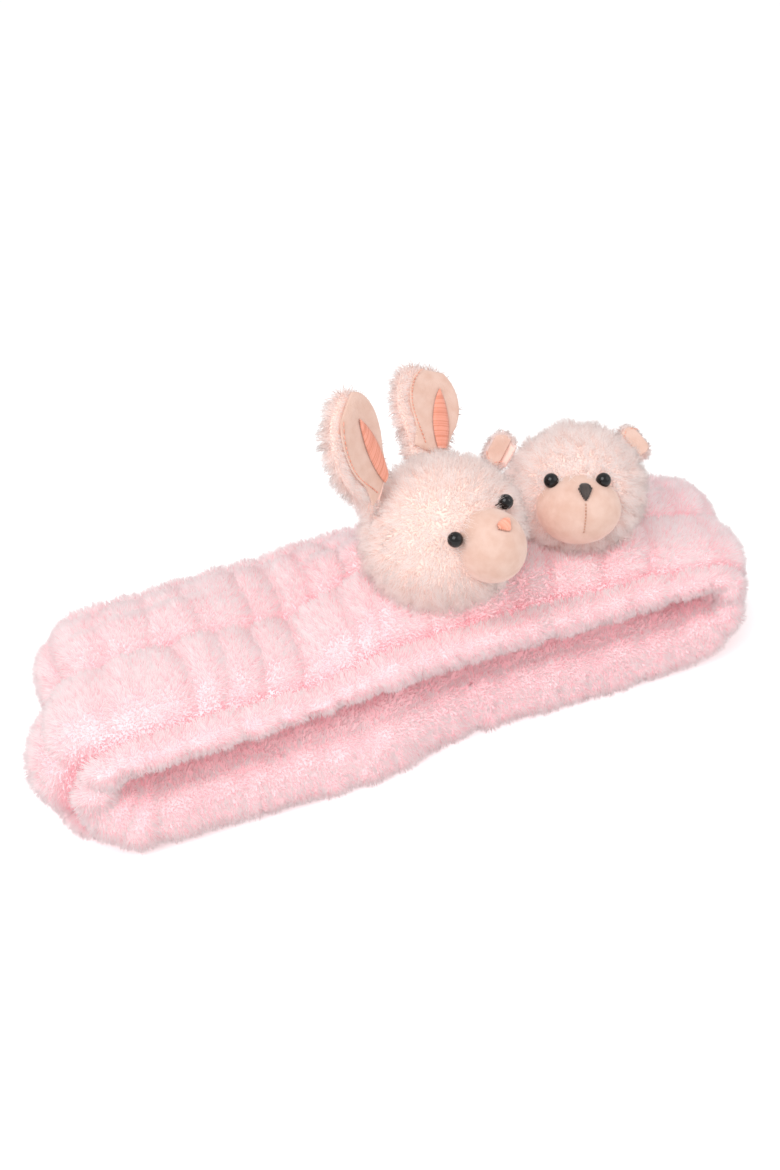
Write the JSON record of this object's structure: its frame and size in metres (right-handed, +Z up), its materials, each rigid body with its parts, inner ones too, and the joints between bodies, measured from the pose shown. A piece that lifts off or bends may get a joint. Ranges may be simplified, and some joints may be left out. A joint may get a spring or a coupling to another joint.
{
  "type": "spa headband",
  "caption": "Plush elastic spa headband: a gathered coral-fleece loop lying flat, with a stuffed rabbit head and a stuffed bear head sewn on top.",
  "frame": {"origin": "on the surface that the loop lies on, under the middle of the whole object's box", "axes": "+X along the flat loop, +Y to the back, +Z up"},
  "size_m": [0.261, 0.096, 0.1229],
  "materials": {
    "pink_coral_fleece": "long soft pile, matte",
    "woven_elastic": "woven elastic tape, matte",
    "pink_thread": "spun polyester thread",
    "rabbit_plush": "fine crinkled pile, matte",
    "bear_sherpa": "curly sherpa pile, matte",
    "peach_velboa": "short brushed pile, matte",
    "coral_embroidery": "satin stitch, soft sheen",
    "brown_embroidery": "satin stitch, soft sheen",
    "stuffing": "polyester fibre fill",
    "black_bead_plastic": "polished",
    "eye_washer_plastic": "moulded, plain"
  },
  "bodies": {
    "lower_half": {"band_sleeve_lower": "pink_coral_fleece", "band_fold_left": "pink_coral_fleece", "band_fold_right": "pink_coral_fleece", "elastic_front_lower": "woven_elastic", "elastic_back_lower": "woven_elastic", "elastic_front_left_fold": "woven_elastic", "elastic_front_right_fold": "woven_elastic", "elastic_back_left_fold": "woven_elastic", "elastic_back_right_fold": "woven_elastic", "stitch_front_lower": "pink_thread", "stitch_middle_lower": "pink_thread", "stitch_back_lower": "pink_thread"},
    "upper_half": {"band_sleeve_upper": "pink_coral_fleece", "elastic_front_upper": "woven_elastic", "elastic_back_upper": "woven_elastic", "stitch_front_upper": "pink_thread", "stitch_middle_upper": "pink_thread", "stitch_back_upper": "pink_thread", "bunny_head_cover": "rabbit_plush", "bunny_head_stuffing": "stuffing", "bunny_muzzle_cover": "peach_velboa", "bunny_muzzle_stuffing": "stuffing", "bunny_nose": "coral_embroidery", "bunny_eye_left": "black_bead_plastic", "bunny_eye_right": "black_bead_plastic", "bunny_eye_washer_left": "eye_washer_plastic", "bunny_eye_washer_right": "eye_washer_plastic", "bunny_tacking_thread": "pink_thread", "bear_head_cover": "bear_sherpa", "bear_head_stuffing": "stuffing", "bear_muzzle_cover": "peach_velboa", "bear_muzzle_stuffing": "stuffing", "bear_nose": "brown_embroidery", "bear_eye_left": "black_bead_plastic", "bear_eye_right": "black_bead_plastic", "bear_eye_washer_left": "eye_washer_plastic", "bear_eye_washer_right": "eye_washer_plastic", "bear_tacking_thread": "pink_thread", "bear_mouth_stitch": "brown_embroidery"},
    "bunny_ear_left": {"bunny_ear_left_back": "rabbit_plush", "bunny_ear_left_front": "peach_velboa", "bunny_ear_left_embroidery": "coral_embroidery"},
    "bunny_ear_right": {"bunny_ear_right_back": "rabbit_plush", "bunny_ear_right_front": "peach_velboa", "bunny_ear_right_embroidery": "coral_embroidery"},
    "bear_ear_left": {"bear_ear_left_back": "bear_sherpa", "bear_ear_left_front": "peach_velboa"},
    "bear_ear_right": {"bear_ear_right_back": "bear_sherpa", "bear_ear_right_front": "peach_velboa"}
  },
  "joints": [
    {"name": "loop_stretch", "type": "slide", "parent": "lower_half", "child": "upper_half", "axis": [0, 0, 1], "range_m": [0, 0.06], "stiffness_N_per_m": 80, "deforming": ["band_fold_left", "band_fold_right", "elastic_front_left_fold", "elastic_front_right_fold", "elastic_back_left_fold", "elastic_back_right_fold"]},
    {"name": "bunny_ear_left_bend", "type": "hinge", "parent": "upper_half", "child": "bunny_ear_left", "pos_m": [-0.01619, -0.01203, 0.08744], "axis": [0.5911, 0.4995, 0.6334], "range_deg": [-35, 35], "stiffness_Nm_per_rad": 0.02},
    {"name": "bunny_ear_right_bend", "type": "hinge", "parent": "upper_half", "child": "bunny_ear_right", "pos_m": [0.01128, 0.00815, 0.08363], "axis": [0.9247, -0.0275, -0.3796], "range_deg": [-35, 35], "stiffness_Nm_per_rad": 0.02},
    {"name": "bear_ear_left_bend", "type": "hinge", "parent": "upper_half", "child": "bear_ear_left", "pos_m": [0.04425, 0.01135, 0.0752], "axis": [0.63, 0.2279, 0.7424], "range_deg": [-20, 20], "stiffness_Nm_per_rad": 0.01},
    {"name": "bear_ear_right_bend", "type": "hinge", "parent": "upper_half", "child": "bear_ear_right", "pos_m": [0.08389, 0.00057, 0.07349], "axis": [0.3685, -0.7108, -0.5991], "range_deg": [-20, 20], "stiffness_Nm_per_rad": 0.01}
  ]
}
